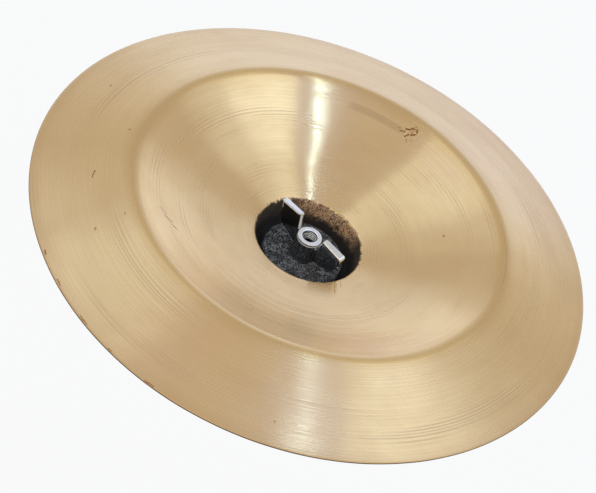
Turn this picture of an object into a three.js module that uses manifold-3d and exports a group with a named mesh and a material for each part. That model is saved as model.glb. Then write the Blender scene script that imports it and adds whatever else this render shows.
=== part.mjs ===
// China cymbal hung bell down on the end of a threaded rod, held between two felts by a wing nut.
// Millimetres. +Z runs up the rod and +X runs along the wings of the nut.
// The origin is the centre of the rod's lower end face.

import * as THREE from 'three';
import { mergeVertices } from 'three/addons/utils/BufferGeometryUtils.js';
import Module from 'manifold-3d';

const wasm = await Module();
wasm.setup();

// Cymbal: diameters, and heights above the mouth of the bell
const rimDiameter = 304.8;
const ridgeDiameter = 203.2;
const bellMouthDiameter = 58.2;
const bellDepth = 19;
const bellWallLean = 1.5;
const ridgeHeight = 27.4;
const rimHeight = 11.2;
const cymbalThickness = 0.9;

// Cymbal: the radii at which its sheet bends
const bellFloorBend = 5;
const bellMouthBend = 2;
const bowBend = 220;
const ridgeBend = 9;
const flangeBend = 300;

// Cymbal: where the gentle knees of the bow and of the flange lie between their two ends
const bowKneeReachShare = 0.51;
const bowKneeRiseShare = 0.37;
const flangeKneeReachShare = 0.5;
const flangeKneeDropShare = 0.56;

// Mounting rod: a plain shank below, turned down to an M8 thread above
const shankDiameter = 10;
const shankLength = 34;
const threadDiameter = 8;
const rodChamfer = 0.8;

// Hexagon nut, washer and sleeve on the rod
const seatNutAcrossFlats = 13;
const seatNutHeight = 6.5;
const seatNutChamfer = 0.9;
const seatWasherDiameter = 38;
const seatWasherThickness = 1.6;
const seatWasherChamfer = 0.3;
const sleeveWall = 1;
const sleeveSink = 1.5;

// Felts
const lowerFeltDiameter = 40;
const lowerFeltThickness = 10;
const upperFeltThickness = 8;
const feltEdgeBend = 1.6;
const feltSideGap = 0.3;

// Wing nut: a threaded bush in a pressed sheet body with two wings
const wingSheet = 1.4;
const bushWall = 1.7;
const bushHeight = 13.2;
const bushRingThickness = 1.25;
const bushRingStep = 0.45;
const bushChamfer = 0.35;
const threadShowing = 5;
const barrelFlare = 0.9;
const barrelFlareHeight = 2.6;
const wingHeight = 20.4;
const wingTopDrop = 0.8;
const wingTopInner = 10;
const wingFootReach = 19.8;
const wingFootLift = 5.3;
const wingRootLift = 0.8;
const wingShoulderHeight = 13;
const wingNeckDrop = 1;
const wingFlangeDepth = 4;
const wingWebOffset = 0.7;
const wingBend = 1.6;
const wingLeanDegrees = 6.5;

// Clearances
const threadClearance = 0.1;
const sleeveBoreClearance = 0.2;
const feltBoreClearance = 0.5;
const holeClearance = 1.25;
const bushClearance = 0.15;
const wingToBellGap = 5;
const seatGap = 0.05;
const softGap = 0.3;
const cutOverrun = 1;

// How finely the round forms are drawn
const cymbalSides = 72;
const feltSides = 36;
const smallSides = 32;
const hexagonSides = 6;
const tightBendSteps = 4;
const wideBendSteps = 4;
const edgeBendSteps = 2;
const longestTangentShare = 0.48;

// Radii that follow from the sizes above
const half = (diameter) => diameter / 2;
const threadRadius = half(threadDiameter);
const threadedBoreRadius = threadRadius + threadClearance;
const sleeveBoreRadius = threadRadius + sleeveBoreClearance;
const sleeveRadius = sleeveBoreRadius + sleeveWall;
const feltBoreRadius = sleeveRadius + feltBoreClearance;
const holeRadius = sleeveRadius + holeClearance;
const bellMouthRadius = half(bellMouthDiameter);
const bellFloorRadius = bellMouthRadius - bellWallLean;
const upperFeltRadius = bellFloorRadius - bellFloorBend - feltSideGap;
const bushRadius = threadedBoreRadius + bushWall;
const barrelBoreRadius = bushRadius + bushClearance;
const barrelRadius = barrelBoreRadius + wingSheet;
const bushRingRadius = barrelRadius - bushRingStep;
const wingReach = bellMouthRadius - wingToBellGap;

// Heights that follow from the sizes above, from the rod's lower end up
const seatNutZ = shankLength + seatGap;
const seatWasherZ = seatNutZ + seatNutHeight + seatGap;
const sleeveZ = seatWasherZ + seatWasherThickness + seatGap;
const lowerFeltZ = seatWasherZ + seatWasherThickness + softGap;
const bellFloorZ = lowerFeltZ + lowerFeltThickness + softGap + cymbalThickness;
const bellMouthZ = bellFloorZ + bellDepth;
const upperFeltZ = bellFloorZ + softGap;
const wingNutZ = upperFeltZ + upperFeltThickness + softGap;
const sleeveTopZ = upperFeltZ + upperFeltThickness - sleeveSink;
const bushTopZ = wingNutZ + bushHeight;
const barrelTopZ = bushTopZ - bushRingThickness - bushClearance;
const rodTopZ = bushTopZ - threadShowing;

const point = (x, y) => new THREE.Vector2(x, y);

// Points along straight legs whose corners are bent to the given radii.
// Each corner is { at, bend, steps }; the first and the last corner stay as they are.
function bentPath(corners) {
  const points = [corners[0].at];
  for (let i = 1; i < corners.length - 1; i += 1) {
    const { at, bend, steps } = corners[i];
    const back = corners[i - 1].at.clone().sub(at);
    const ahead = corners[i + 1].at.clone().sub(at);
    const shortestLeg = Math.min(back.length(), ahead.length());
    back.normalize();
    ahead.normalize();
    const halfOpening = Math.acos(THREE.MathUtils.clamp(back.dot(ahead), -1, 1)) / 2;
    const tangent = Math.min(bend / Math.tan(halfOpening), shortestLeg * longestTangentShare);
    const radius = tangent * Math.tan(halfOpening);
    const middle = back.clone().add(ahead).normalize();
    const centre = at.clone().addScaledVector(middle, radius / Math.sin(halfOpening));
    const from = at.clone().addScaledVector(back, tangent).sub(centre);
    const to = at.clone().addScaledVector(ahead, tangent).sub(centre);
    const turn = Math.atan2(from.cross(to), from.dot(to));
    for (let step = 0; step <= steps; step += 1) {
      points.push(from.clone().rotateAround(point(0, 0), (turn * step) / steps).add(centre));
    }
  }
  points.push(corners[corners.length - 1].at);
  return points;
}

// The same path moved sideways, to its left when the distance is positive.
function offsetPath(points, distance) {
  return points.map((at, i) => {
    const before = points[Math.max(i - 1, 0)];
    const after = points[Math.min(i + 1, points.length - 1)];
    const arriving = at.clone().sub(before).normalize();
    const leaving = after.clone().sub(at).normalize();
    const along = arriving.clone().add(leaving).normalize();
    const left = point(-along.y, along.x);
    const straight = i === 0 || i === points.length - 1;
    const stretch = straight ? 1 : 1 / Math.max(along.dot(arriving), along.dot(leaving));
    return at.clone().addScaledVector(left, distance * stretch);
  });
}

// A solid of revolution about +Z from an outline of radius and height drawn anticlockwise.
// An outline that touches the axis is left open there; any other closes on itself.
function turned(outline, sides) {
  const onAxis = outline[0].x === 0;
  const profile = onAxis ? outline : [...outline, outline[0]];
  return new THREE.LatheGeometry(profile, sides).rotateX(Math.PI / 2);
}

// A ring with chamfered or rounded outer edges
function ring(boreRadius, radius, lowZ, highZ, bend, steps, sides) {
  const outside = bentPath([
    { at: point(boreRadius, lowZ) },
    { at: point(radius, lowZ), bend, steps },
    { at: point(radius, highZ), bend, steps },
    { at: point(boreRadius, highZ) },
  ]);
  return turned(outside, sides);
}

// A plate drawn in X and Z and given its thickness along +Y, starting at y = 0
function plate(outline, thickness) {
  const shape = new THREE.Shape(outline);
  const geometry = new THREE.ExtrudeGeometry(shape, { depth: thickness, bevelEnabled: false });
  return geometry.rotateX(Math.PI / 2).translate(0, thickness, 0);
}

function toSolid(geometry) {
  const bare = geometry.clone();
  bare.deleteAttribute('normal');
  bare.deleteAttribute('uv');
  const merged = mergeVertices(bare);
  const vertProperties = new Float32Array(merged.attributes.position.array);
  const triVerts = new Uint32Array(merged.index.array);
  return new wasm.Manifold(new wasm.Mesh({ numProp: 3, vertProperties, triVerts }));
}

function toGeometry(solid) {
  const mesh = solid.getMesh();
  const geometry = new THREE.BufferGeometry();
  geometry.setAttribute('position', new THREE.BufferAttribute(mesh.vertProperties, 3));
  geometry.setIndex(new THREE.BufferAttribute(mesh.triVerts, 1));
  geometry.computeVertexNormals();
  return geometry;
}

// Cymbal: one bent sheet, from its centre hole over the bell, the bow and the ridge to the rim
function cymbalGeometry() {
  const ridgeRadius = half(ridgeDiameter);
  const rimRadius = half(rimDiameter);
  const bowKnee = point(
    THREE.MathUtils.lerp(bellMouthRadius, ridgeRadius, bowKneeReachShare),
    bellMouthZ + ridgeHeight * bowKneeRiseShare,
  );
  const flangeKnee = point(
    THREE.MathUtils.lerp(ridgeRadius, rimRadius, flangeKneeReachShare),
    bellMouthZ + THREE.MathUtils.lerp(ridgeHeight, rimHeight, flangeKneeDropShare),
  );
  const upperFace = bentPath([
    { at: point(holeRadius, bellFloorZ) },
    { at: point(bellFloorRadius, bellFloorZ), bend: bellFloorBend, steps: tightBendSteps },
    { at: point(bellMouthRadius, bellMouthZ), bend: bellMouthBend, steps: tightBendSteps },
    { at: bowKnee, bend: bowBend, steps: wideBendSteps },
    { at: point(ridgeRadius, bellMouthZ + ridgeHeight), bend: ridgeBend, steps: wideBendSteps },
    { at: flangeKnee, bend: flangeBend, steps: edgeBendSteps },
    { at: point(rimRadius, bellMouthZ + rimHeight) },
  ]);
  const lowerFace = offsetPath(upperFace, -cymbalThickness);
  return turned([...lowerFace, ...upperFace.reverse()], cymbalSides);
}

// Mounting rod: shank, shoulder and threaded end in one piece
function rodGeometry() {
  const shankRadius = half(shankDiameter);
  return turned([
    point(0, 0),
    point(shankRadius - rodChamfer, 0),
    point(shankRadius, rodChamfer),
    point(shankRadius, shankLength),
    point(threadRadius, shankLength),
    point(threadRadius, rodTopZ - rodChamfer),
    point(threadRadius - rodChamfer, rodTopZ),
    point(0, rodTopZ),
  ], smallSides);
}

// Hexagon nut that is run down the thread onto the shoulder
function seatNutGeometry() {
  const cornerRadius = half(seatNutAcrossFlats) / Math.cos(Math.PI / hexagonSides);
  const topZ = seatNutZ + seatNutHeight;
  const hexagon = new THREE.CylinderGeometry(cornerRadius, cornerRadius, seatNutHeight, hexagonSides);
  hexagon.rotateX(Math.PI / 2).translate(0, 0, seatNutZ + seatNutHeight / 2);
  const chamfered = turned([
    point(0, seatNutZ),
    point(cornerRadius - seatNutChamfer, seatNutZ),
    point(cornerRadius, seatNutZ + seatNutChamfer / 2),
    point(cornerRadius, topZ - seatNutChamfer / 2),
    point(cornerRadius - seatNutChamfer, topZ),
    point(0, topZ),
  ], smallSides);
  const bore = turned([
    point(0, seatNutZ - cutOverrun),
    point(threadedBoreRadius, seatNutZ - cutOverrun),
    point(threadedBoreRadius, topZ + cutOverrun),
    point(0, topZ + cutOverrun),
  ], smallSides);
  return toGeometry(toSolid(hexagon).intersect(toSolid(chamfered)).subtract(toSolid(bore)));
}

function seatWasherGeometry() {
  const radius = half(seatWasherDiameter);
  const topZ = seatWasherZ + seatWasherThickness;
  return ring(threadedBoreRadius, radius, seatWasherZ, topZ, seatWasherChamfer, 1, feltSides);
}

function sleeveGeometry() {
  return turned([
    point(sleeveBoreRadius, sleeveZ),
    point(sleeveRadius, sleeveZ),
    point(sleeveRadius, sleeveTopZ),
    point(sleeveBoreRadius, sleeveTopZ),
  ], smallSides);
}

function feltGeometry(radius, lowZ, thickness) {
  return ring(feltBoreRadius, radius, lowZ, lowZ + thickness, feltEdgeBend, edgeBendSteps, feltSides);
}

// Threaded bush: a tube with a ring round its top, which is staked over the barrel of the body
function bushGeometry() {
  const ringZ = bushTopZ - bushRingThickness;
  return turned([
    point(threadedBoreRadius + bushChamfer, wingNutZ),
    point(bushRadius, wingNutZ),
    point(bushRadius, ringZ),
    point(bushRingRadius, ringZ),
    point(bushRingRadius, bushTopZ - bushChamfer),
    point(bushRingRadius - bushChamfer, bushTopZ),
    point(threadedBoreRadius + bushChamfer, bushTopZ),
    point(threadedBoreRadius, bushTopZ - bushChamfer),
    point(threadedBoreRadius, wingNutZ + bushChamfer),
  ], smallSides);
}

// Barrel of the pressed body, flared a little at its foot
function barrelGeometry() {
  return turned([
    point(barrelBoreRadius, wingNutZ),
    point(barrelRadius + barrelFlare, wingNutZ),
    point(barrelRadius, wingNutZ + barrelFlareHeight),
    point(barrelRadius, barrelTopZ),
    point(barrelBoreRadius, barrelTopZ),
  ], smallSides);
}

// One wing: a leaning web whose neck, top and upper outer edge are folded back as one flange
function wingSolid() {
  const foot = point(wingFootReach, wingFootLift);
  const shoulder = point(wingReach, wingShoulderHeight);
  const outerTop = point(wingReach, wingHeight - wingTopDrop);
  const innerTop = point(wingTopInner, wingHeight);
  const neck = point(barrelRadius, barrelTopZ - wingNutZ - wingNeckDrop);
  const rootX = half(barrelBoreRadius + barrelRadius);
  const edge = bentPath([
    { at: shoulder },
    { at: outerTop, bend: wingBend, steps: edgeBendSteps },
    { at: innerTop, bend: wingBend, steps: edgeBendSteps },
    { at: neck },
  ]);
  const webOutline = [point(rootX, wingRootLift), foot, ...edge, point(rootX, neck.y)];
  const web = plate(webOutline, wingSheet);
  const flangeOutline = [...edge, ...offsetPath(edge, wingSheet).reverse()];
  const flange = plate(flangeOutline, wingFlangeDepth);
  const lean = new THREE.Matrix4().makeRotationX(THREE.MathUtils.degToRad(wingLeanDegrees));
  const place = new THREE.Matrix4().makeTranslation(0, -wingWebOffset, wingNutZ).multiply(lean);
  return toSolid(web.applyMatrix4(place)).add(toSolid(flange.applyMatrix4(place)));
}

function wingNutBodyGeometry() {
  const wing = wingSolid();
  const otherWing = wing.rotate([0, 0, 180]);
  const bore = turned([
    point(0, wingNutZ - cutOverrun),
    point(barrelBoreRadius, wingNutZ - cutOverrun),
    point(barrelBoreRadius, barrelTopZ + cutOverrun),
    point(0, barrelTopZ + cutOverrun),
  ], smallSides);
  return toGeometry(toSolid(barrelGeometry()).add(wing).add(otherWing).subtract(toSolid(bore)));
}

const bronze = new THREE.MeshStandardMaterial({ color: 0xc8a064, roughness: 0.34, metalness: 1 });
const platedSteel = new THREE.MeshStandardMaterial({ color: 0xd4d6d8, roughness: 0.22, metalness: 1 });
const blackFelt = new THREE.MeshStandardMaterial({ color: 0x222326, roughness: 0.98, metalness: 0 });
const blackNylon = new THREE.MeshStandardMaterial({ color: 0x18181a, roughness: 0.5, metalness: 0 });

const pieces = [
  ['mounting_rod', rodGeometry(), platedSteel],
  ['seat_nut', seatNutGeometry(), platedSteel],
  ['seat_washer', seatWasherGeometry(), platedSteel],
  ['sleeve', sleeveGeometry(), blackNylon],
  ['lower_felt', feltGeometry(half(lowerFeltDiameter), lowerFeltZ, lowerFeltThickness), blackFelt],
  ['cymbal', cymbalGeometry(), bronze],
  ['upper_felt', feltGeometry(upperFeltRadius, upperFeltZ, upperFeltThickness), blackFelt],
  ['wing_nut_bush', bushGeometry(), platedSteel],
  ['wing_nut_body', wingNutBodyGeometry(), platedSteel],
];

const chinaCymbal = new THREE.Group();
chinaCymbal.name = 'china_cymbal';
for (const [name, geometry, material] of pieces) {
  const mesh = new THREE.Mesh(geometry, material.clone());
  mesh.name = name;
  chinaCymbal.add(mesh);
}

export default chinaCymbal;
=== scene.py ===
# China cymbal hung bell down on its rod end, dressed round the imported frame. Blender units are metres.
import math
import random

import bmesh
import bpy
import numpy as np
from bpy.props import FloatProperty, FloatVectorProperty, IntProperty, PointerProperty
from mathutils import Matrix, Vector, noise


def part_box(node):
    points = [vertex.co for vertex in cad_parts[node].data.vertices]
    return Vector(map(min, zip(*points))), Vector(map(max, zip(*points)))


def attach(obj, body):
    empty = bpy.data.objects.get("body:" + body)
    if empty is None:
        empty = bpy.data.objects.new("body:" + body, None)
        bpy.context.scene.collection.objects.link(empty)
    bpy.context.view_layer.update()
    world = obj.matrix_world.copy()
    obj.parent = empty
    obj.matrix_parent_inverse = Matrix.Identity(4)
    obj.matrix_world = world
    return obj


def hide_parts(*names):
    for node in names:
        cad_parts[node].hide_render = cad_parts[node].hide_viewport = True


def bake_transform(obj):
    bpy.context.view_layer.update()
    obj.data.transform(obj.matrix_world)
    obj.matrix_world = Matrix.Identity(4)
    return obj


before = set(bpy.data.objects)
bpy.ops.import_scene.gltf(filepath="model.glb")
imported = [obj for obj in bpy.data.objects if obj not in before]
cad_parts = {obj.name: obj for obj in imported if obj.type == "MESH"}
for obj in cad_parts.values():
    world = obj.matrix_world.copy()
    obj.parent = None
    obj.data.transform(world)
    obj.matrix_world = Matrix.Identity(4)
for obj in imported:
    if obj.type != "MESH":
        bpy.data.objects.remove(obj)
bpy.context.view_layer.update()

bl_info = {
    "name": "China Cymbal",
    "version": (1, 0, 0),
    "blender": (4, 5, 0),
    "location": "View3D > Sidebar > Cymbal",
    "description": "Builds a china cymbal with its felts, wing nut and rod end, and the studio round it",
    "category": "Add Mesh",
}

MM = 0.001
FULL_TURN = 2 * math.pi

# Heights and radii in millimetres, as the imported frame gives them
BELL_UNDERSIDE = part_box("cymbal")[0].z / MM
RIM_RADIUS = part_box("cymbal")[1].x / MM
ROD_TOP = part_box("mounting_rod")[1].z / MM
SHANK_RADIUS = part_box("mounting_rod")[1].x / MM
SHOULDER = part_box("seat_nut")[0].z / MM - 0.05
NUT_FOOT, BUSH_TOP = (corner.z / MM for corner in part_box("wing_nut_bush"))
RING_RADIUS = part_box("wing_nut_bush")[1].x / MM
WING_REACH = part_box("wing_nut_body")[1].x / MM

# The sheet of the cymbal, in millimetres, as the solid has it
SHEET = 0.9
BELL_FLOOR = BELL_UNDERSIDE + SHEET
BELL_MOUTH = BELL_FLOOR + 19.0
HOLE_RADIUS = 6.45
BELL_FLOOR_RADIUS = 27.6
BELL_MOUTH_RADIUS = 29.1
BOW_KNEE = (66.08, BELL_MOUTH + 10.14)
RIDGE = (101.6, BELL_MOUTH + 27.4)
FLANGE_KNEE = (127.0, BELL_MOUTH + 18.33)
RIM_HEIGHT = BELL_MOUTH + 11.2

# The thread, in millimetres
THREAD_PITCH = 1.25
THREAD_DEPTH = 0.66
THREAD_STEP = THREAD_PITCH / 10
ROD_CREST = 3.96
NUT_ROOT = 4.09

# The pressed wing nut, in millimetres
STEEL = 1.4
BARREL_BORE = 5.95
BARREL_WALL = 0.95
BARREL_TOP = BUSH_TOP - STEEL

# Bore of the felts, in millimetres, clear of the sleeve when the cymbal rocks
FELT_BORE = 6.2

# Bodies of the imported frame
STAND = "stand"
LOWER_CUSHION = "lower_cushion"
UPPER_CUSHION = "upper_cushion"
CYMBAL = "cymbal"
NUT_BODY = "nut_body"


class CymbalSettings(bpy.types.PropertyGroup):
    bronze: FloatVectorProperty(
        name="Bronze", description="Colour of the polished bronze", subtype="COLOR",
        size=3, min=0, max=1, default=(0.85, 0.555, 0.215))
    tarnish: FloatVectorProperty(
        name="Tarnish", description="Colour of the bronze where it has dulled", subtype="COLOR",
        size=3, min=0, max=1, default=(0.78, 0.48, 0.16))
    # Painted shade: the near-black scale inside the bell away from its lit patch
    raw_bronze_in_shade: FloatVectorProperty(
        name="Raw bronze", description="Colour of the scale left inside the bell", subtype="COLOR",
        size=3, min=0, max=1, default=(0.03, 0.026, 0.021))
    roughness: FloatProperty(
        name="Roughness", description="Roughness of the lathed surface",
        min=0, max=1, default=0.165, subtype="FACTOR")
    groove_depth: FloatProperty(
        name="Groove depth", description="Depth of the fine lathed grooves",
        min=0, default=0.00003, unit="LENGTH", precision=6)
    hammering: FloatProperty(
        name="Hammering", description="Depth of the uneven hammering",
        min=0, max=0.0005, default=0.00011, unit="LENGTH", precision=6)
    rim_wave: FloatProperty(
        name="Rim wave", description="How far the rim waves up and down",
        min=0, max=0.003, default=0.0007, unit="LENGTH", precision=5)
    sides: IntProperty(
        name="Sides", description="Faces round the cymbal", min=60, max=720, default=360)


class FeltSettings(bpy.types.PropertyGroup):
    wool: FloatVectorProperty(
        name="Wool", description="Colour of the pressed wool", subtype="COLOR",
        size=3, min=0, max=1, default=(0.014, 0.0135, 0.013))
    fleck: FloatVectorProperty(
        name="Fleck", description="Colour of the paler hairs in the wool", subtype="COLOR",
        size=3, min=0, max=1, default=(0.62, 0.61, 0.59))
    fibres: IntProperty(
        name="Fibres", description="Loose hairs on each felt", min=0, max=5000, default=1500)
    fibre_length: FloatProperty(
        name="Fibre length", description="Length of the loose hairs",
        min=0, default=0.0016, unit="LENGTH", precision=5)
    pinch: FloatProperty(
        name="Pinch", description="How far the nut presses the felt's middle below its edge",
        min=0, max=0.003, default=0.001, unit="LENGTH", precision=5)
    lumps: FloatProperty(
        name="Lumps", description="Unevenness of the felt",
        min=0, max=0.001, default=0.00022, unit="LENGTH", precision=6)


class NutSettings(bpy.types.PropertyGroup):
    plating: FloatVectorProperty(
        name="Plating", description="Colour of the bright plating", subtype="COLOR",
        size=3, min=0, max=1, default=(0.87, 0.855, 0.82))
    roughness: FloatProperty(
        name="Roughness", description="Roughness of the plating",
        min=0, max=1, default=0.12, subtype="FACTOR")
    lean: FloatProperty(
        name="Lean", description="How far each wing leans over",
        default=math.radians(6.5), subtype="ANGLE")
    grain: FloatProperty(
        name="Remesh grain", description="Size of the faces of the pressed body",
        min=0.00015, max=0.001, default=0.0002, unit="LENGTH", precision=5)


class RodSettings(bpy.types.PropertyGroup):
    plating: FloatVectorProperty(
        name="Plating", description="Colour of the rod's plating", subtype="COLOR",
        size=3, min=0, max=1, default=(0.74, 0.75, 0.77))
    zinc: FloatVectorProperty(
        name="Zinc", description="Colour of the zinc on nut and washer", subtype="COLOR",
        size=3, min=0, max=1, default=(0.62, 0.63, 0.63))
    nylon: FloatVectorProperty(
        name="Nylon", description="Colour of the sleeve", subtype="COLOR",
        size=3, min=0, max=1, default=(0.03, 0.03, 0.033))


class StageSettings(bpy.types.PropertyGroup):
    azimuth: FloatProperty(
        name="Azimuth", description="Camera's direction round the rod",
        default=math.radians(29.25), subtype="ANGLE")
    elevation: FloatProperty(
        name="Elevation", description="Camera's height above the horizon",
        default=math.radians(43.89), subtype="ANGLE")
    roll: FloatProperty(
        name="Roll", description="How far the camera is turned about its own axis",
        default=math.radians(24.24), subtype="ANGLE")
    distance: FloatProperty(
        name="Distance", description="From the camera to the point that it looks at",
        default=1.0, unit="LENGTH")
    lens: FloatProperty(
        name="Lens", description="Focal length on a sensor 36 mm wide",
        default=114.63, unit="CAMERA")
    floor_drop: FloatProperty(
        name="Floor drop", description="How far the floor lies below the rod's lower end",
        default=0.35, unit="LENGTH")
    panel_height: FloatProperty(
        name="Panel height", description="How high the light panels hang over the cymbal",
        default=2.0, unit="LENGTH")
    backdrop: FloatProperty(
        name="Backdrop", description="Brightness of the background", min=0, max=1, default=0.947)
    zenith: FloatProperty(
        name="Zenith", description="Brightness of the dim ceiling", min=0, max=1, default=0.6)
    horizon: FloatVectorProperty(
        name="Horizon", description="Colour of the walls low round the cymbal", subtype="COLOR",
        size=3, min=0, max=1, default=(0.92, 0.96, 1.0))


# ---------------------------------------------------------------- meshes

def polar(radius, degrees):
    return Vector((math.cos(math.radians(degrees)), math.sin(math.radians(degrees)), 0)) * radius


def bent_path(corners):
    """Points along straight legs whose corners (x, y, bend, steps) are bent to a radius."""
    at = [Vector(corner[:2]) for corner in corners]
    points = [at[0]]
    for i in range(1, len(corners) - 1):
        bend, steps = corners[i][2:]
        back, ahead = at[i - 1] - at[i], at[i + 1] - at[i]
        shortest = min(back.length, ahead.length)
        back.normalize()
        ahead.normalize()
        half = math.acos(max(-1, min(1, back.dot(ahead)))) / 2
        tangent = min(bend / math.tan(half), shortest * 0.48)
        radius = tangent * math.tan(half)
        centre = at[i] + (back + ahead).normalized() * radius / math.sin(half)
        start, end = at[i] + back * tangent - centre, at[i] + ahead * tangent - centre
        turn = math.atan2(start.x * end.y - start.y * end.x, start.dot(end))
        for step in range(steps + 1):
            points.append(centre + Matrix.Rotation(turn * step / steps, 2) @ start)
    points.append(at[-1])
    return points


def offset_path(points, distance):
    """The same path moved to its left."""
    moved = []
    for i, at in enumerate(points):
        arriving = (at - points[max(i - 1, 0)]).normalized()
        leaving = (points[min(i + 1, len(points) - 1)] - at).normalized()
        along = (arriving + leaving).normalized()
        stretch = 1 / max(along.dot(arriving), along.dot(leaving))
        moved.append(at + Vector((-along.y, along.x)) * distance * stretch)
    return moved


def subdivided(points, longest):
    """The same path with no leg over the longest length."""
    path = [points[0]]
    for a, b in zip(points, points[1:]):
        count = max(1, math.ceil((b - a).length / longest))
        path += [a.lerp(b, k / count) for k in range(1, count + 1)]
    return path


def made(name, points, faces, sharp_degrees=40):
    """An object with these points, in metres, whose faces all look outwards."""
    mesh = bpy.data.meshes.new(name)
    mesh.from_pydata([tuple(p) for p in points], [], faces)
    shell = bmesh.new()
    shell.from_mesh(mesh)
    bmesh.ops.recalc_face_normals(shell, faces=shell.faces)
    shell.to_mesh(mesh)
    shell.free()
    obj = bpy.data.objects.new(name, mesh)
    bpy.context.scene.collection.objects.link(obj)
    smooth(obj, sharp_degrees)
    return obj


def smooth(obj, sharp_degrees):
    obj.data.polygons.foreach_set("use_smooth", [True] * len(obj.data.polygons))
    obj.data.set_sharp_from_angle(angle=math.radians(sharp_degrees))


def turned_points(radii, heights, sides):
    """A grid of points, one row for each radius and height; either may be a row by side grid."""
    angle = np.linspace(0, FULL_TURN, sides, endpoint=False)
    radii = np.broadcast_to(np.asarray(radii, float).reshape(len(radii), -1), (len(radii), sides))
    heights = np.broadcast_to(np.asarray(heights, float).reshape(len(heights), -1), radii.shape)
    return np.stack([radii * np.cos(angle), radii * np.sin(angle), heights], -1)


def turned_faces(rows, sides, closed):
    """Faces between the rows of a grid, and from the last row to the first when closed."""
    faces = []
    for row in range(rows if closed else rows - 1):
        a, b = row * sides, (row + 1) % rows * sides
        faces += [(a + s, a + (s + 1) % sides, b + (s + 1) % sides, b + s) for s in range(sides)]
    return faces


def turned_outline(outline, sides, radius_at):
    """Points in metres of an outline that is turned round the axis, its radii changed by radius_at."""
    radii = np.array([p[0] for p in outline])[:, None]
    heights = np.array([p[1] for p in outline])[:, None]
    if radius_at:
        angle = np.linspace(0, FULL_TURN, sides, endpoint=False)[None, :]
        radii = radius_at(radii, heights, angle)
    return turned_points(radii, heights, sides).reshape(-1, 3) * MM


def turned(name, outline, sides, radius_at=None, sharp_degrees=40):
    """A ring turned from a closed outline of radius and height in millimetres."""
    points = turned_outline(outline, sides, radius_at)
    return made(name, points, turned_faces(len(outline), sides, True), sharp_degrees)


def capped(name, outline, sides, radius_at=None, sharp_degrees=40):
    """A solid turned from an outline that starts and ends on the axis."""
    inner = outline[1:-1]
    points = list(turned_outline(inner, sides, radius_at))
    low, high = len(points), len(points) + 1
    points += [(0, 0, outline[0][1] * MM), (0, 0, outline[-1][1] * MM)]
    faces = turned_faces(len(inner), sides, False)
    last = (len(inner) - 1) * sides
    for s in range(sides):
        faces += [(low, (s + 1) % sides, s), (high, last + s, last + (s + 1) % sides)]
    return made(name, points, faces, sharp_degrees)


def thread_wave(heights, angle):
    """0 on a crest of the rod's thread and 1 in its root."""
    phase = (heights / THREAD_PITCH - angle / FULL_TURN) % 1
    root_share, flank_share = 0.08, 0.8
    return 1 - np.clip((np.abs(2 * phase - 1) - root_share) / flank_share, 0, 1)


def faded(heights, low, high, run):
    """1 between low and high, falling smoothly to 0 over the run at both ends."""
    t = np.clip(np.minimum(heights - low, high - heights) / run, 0, 1)
    return t * t * (3 - 2 * t)


def joined(name, parts):
    """One object from several."""
    for obj in bpy.context.selected_objects:
        obj.select_set(False)
    for part in parts:
        part.select_set(True)
    bpy.context.view_layer.objects.active = parts[0]
    with bpy.context.temp_override(
            active_object=parts[0], object=parts[0], selected_editable_objects=parts,
            selected_objects=parts):
        bpy.ops.object.join()
    parts[0].name = name
    parts[0].data.name = name
    return parts[0]


def applied(obj, kind, **settings):
    """Runs one modifier on the mesh for good."""
    modifier = obj.modifiers.new(kind.title(), kind)
    for key, value in settings.items():
        setattr(modifier, key, value)
    depsgraph = bpy.context.evaluated_depsgraph_get()
    old = obj.data
    obj.data = bpy.data.meshes.new_from_object(obj.evaluated_get(depsgraph))
    obj.data.name = old.name
    obj.modifiers.clear()
    bpy.data.meshes.remove(old)
    return obj


def dressed(obj, material, body, nodes):
    """Gives a finished piece its material, its body and the nodes that it stands for."""
    obj.data.materials.clear()
    obj.data.materials.append(material)
    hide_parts(*nodes)
    if body:
        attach(obj, body)
    return obj


# ---------------------------------------------------------------- materials

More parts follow.
